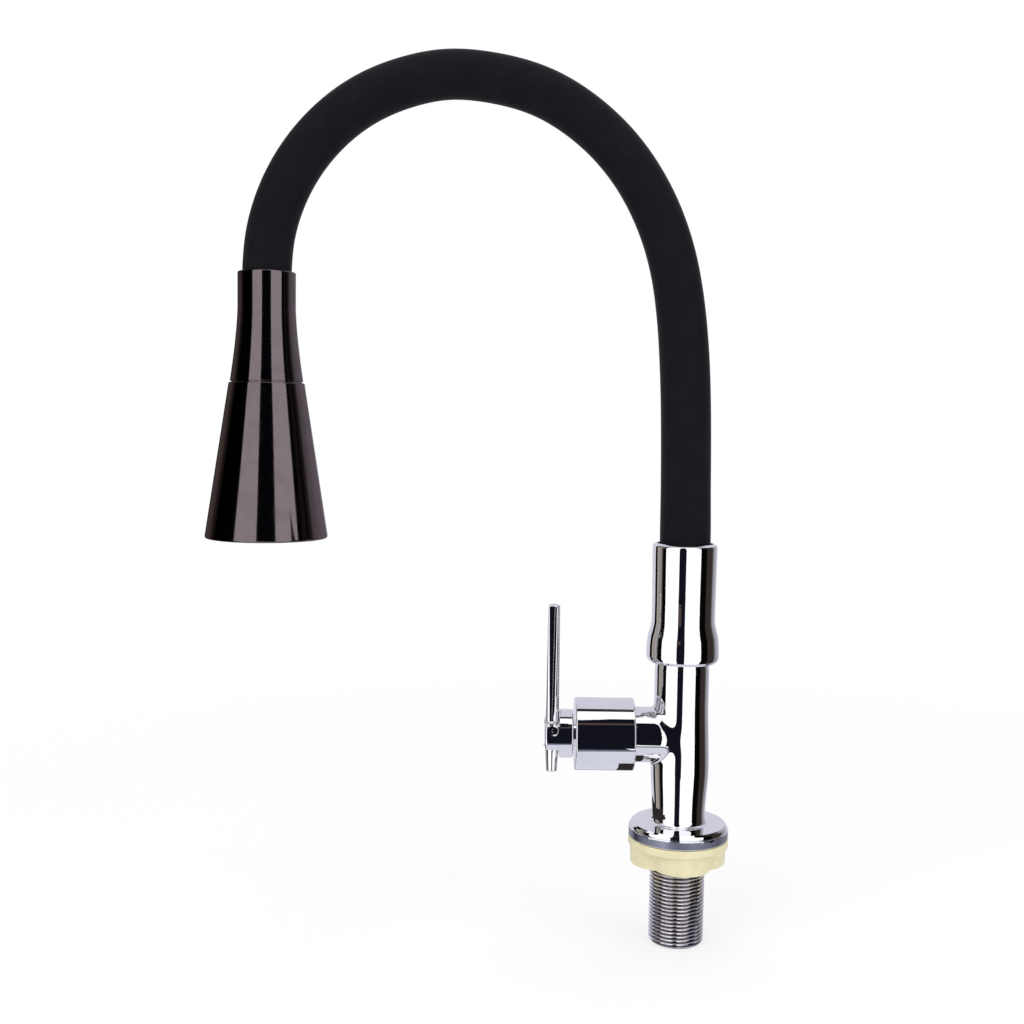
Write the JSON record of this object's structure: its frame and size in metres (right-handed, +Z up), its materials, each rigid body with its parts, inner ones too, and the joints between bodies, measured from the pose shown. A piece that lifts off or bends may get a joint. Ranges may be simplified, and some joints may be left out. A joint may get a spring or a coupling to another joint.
{
  "type": "flexible kitchen tap",
  "caption": "Single-hole kitchen tap with a flexible gooseneck spout, a side lever valve, a swivelling collar and a conical spray head that turns and changes its spray.",
  "frame": {"origin": "centre of the flange's underside, where the tap sits on the sink, on the column's axis", "axes": "+Z up along the column; the spout and the valve point along -X; -Y is the side seen in the picture"},
  "size_m": [0.2516, 0.0578, 0.4215],
  "materials": {
    "chrome": "polished chrome plate on brass",
    "gunmetal": "polished gunmetal plate on moulded plastic",
    "black_silicone": "matt black silicone",
    "cream_plastic": "moulded cream plastic",
    "brass": "turned brass",
    "stainless_steel": "plain stainless steel",
    "ceramic": "lapped alumina",
    "black_rubber": "moulded rubber",
    "white_plastic": "moulded acetal",
    "dark_plastic": "moulded dark plastic"
  },
  "bodies": {
    "base": {"body_casting": "chrome", "threaded_shank": "chrome", "deck_seal": "black_rubber", "port_seal": "black_rubber", "cartridge_housing": "white_plastic", "fixed_disc": "ceramic", "cartridge_nut": "brass", "stem_o_ring": "black_rubber", "valve_cover": "chrome", "slip_ring": "white_plastic", "spigot_grub_screw": "stainless_steel"},
    "nut": {"lock_nut": "cream_plastic"},
    "lever": {"lever_handle": "chrome", "handle_grub_screw": "stainless_steel", "valve_stem": "brass", "moving_disc": "ceramic"},
    "spout": {"swivel_collar": "chrome", "collar_bearing": "white_plastic", "spout_spigot": "brass", "spigot_lower_o_ring": "black_rubber", "spigot_upper_o_ring": "black_rubber", "lower_ferrule": "stainless_steel"},
    "hose": {"silicone_sleeve": "black_silicone", "gooseneck_conduit": "stainless_steel", "water_tube": "black_rubber"},
    "hose_end": {"upper_ferrule": "stainless_steel", "head_nipple": "brass", "nipple_o_ring": "black_rubber"},
    "head": {"head_upper_shell": "gunmetal", "head_core": "white_plastic", "core_o_ring": "black_rubber", "nipple_retainer": "brass", "bell_retainer": "brass", "diverter_disc": "ceramic"},
    "bell": {"spray_bell": "gunmetal", "friction_washer": "dark_plastic", "carrier_plate": "white_plastic", "nozzle_mat": "black_rubber", "spray_face": "dark_plastic", "aerator_housing": "chrome", "aerator_insert": "white_plastic"}
  },
  "joints": [
    {"name": "lock_nut_travel", "type": "slide", "parent": "base", "child": "nut", "axis": [0, 0, 1], "range_m": [-0.038, 0]},
    {"name": "lever_turn", "type": "hinge", "parent": "base", "child": "lever", "pos_m": [0, 0, 0.049], "axis": [1, 0, 0], "range_deg": [0, 90]},
    {"name": "spout_swivel", "type": "hinge", "parent": "base", "child": "spout", "pos_m": [0, 0, 0.104], "axis": [0, 0, 1], "continuous": true},
    {"name": "hose_lean", "type": "hinge", "parent": "spout", "child": "hose", "pos_m": [0, 0, 0.22], "axis": [0, -1, 0], "range_deg": [-15, 20], "deforming": ["silicone_sleeve", "gooseneck_conduit", "water_tube"]},
    {"name": "hose_aim", "type": "hinge", "parent": "hose", "child": "hose_end", "pos_m": [-0.1988, 0, 0.31], "axis": [1, 0, 0], "range_deg": [-25, 25], "deforming": ["silicone_sleeve", "gooseneck_conduit", "water_tube"]},
    {"name": "head_swivel", "type": "hinge", "parent": "hose_end", "child": "head", "pos_m": [-0.1988, 0, 0.24], "axis": [0, 0, 1], "continuous": true},
    {"name": "spray_select", "type": "hinge", "parent": "head", "child": "bell", "pos_m": [-0.1988, 0, 0.2146], "axis": [0, 0, 1], "range_deg": [0, 60]}
  ]
}
